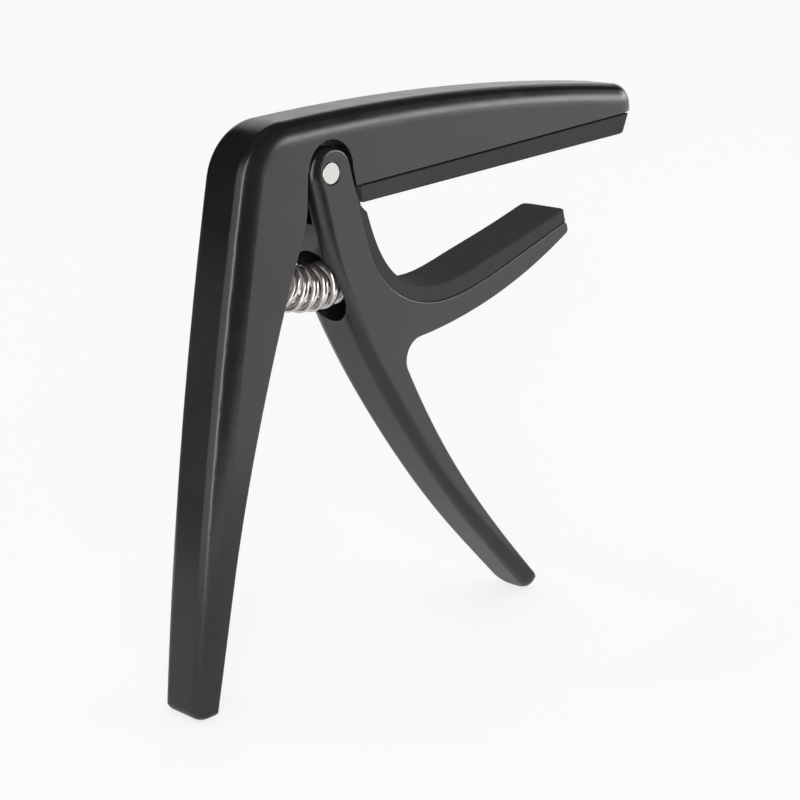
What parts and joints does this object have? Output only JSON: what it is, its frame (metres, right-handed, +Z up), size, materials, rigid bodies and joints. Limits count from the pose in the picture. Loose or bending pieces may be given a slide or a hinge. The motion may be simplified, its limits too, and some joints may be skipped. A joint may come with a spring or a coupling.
{
  "type": "guitar capo",
  "caption": "Trigger-style guitar capo: a sprung cast lever hinged in a cast frame clamps a neck between a straight string pad and a curved neck pad.",
  "frame": {"origin": "middle of the capo's footprint, on the surface that its two feet stand on", "axes": "+Z up; +X from the rear handle towards the tip of the top bar; +Y across the capo, along the hinge pin"},
  "size_m": [0.0961, 0.0094, 0.0847],
  "materials": {
    "cast_body": "satin black powder coat on die-cast alloy",
    "pin_steel": "bright ground steel",
    "spring_steel": "bright nickel plate on spring wire",
    "silicone": "matt dark silicone rubber"
  },
  "bodies": {
    "frame_body": {"frame": "cast_body", "pivot_pin": "pin_steel", "string_pad": "silicone", "spring": "spring_steel"},
    "lever_body": {"lever": "cast_body", "neck_pad": "silicone"}
  },
  "joints": [
    {"name": "lever_pivot", "type": "hinge", "parent": "frame_body", "child": "lever_body", "pos_m": [-0.02028, 0, 0.0757], "axis": [0, 1, 0], "range_deg": [0, 22], "stiffness_Nm_per_rad": 1.5, "springref_deg": -34.38, "deforming": ["spring"]}
  ]
}
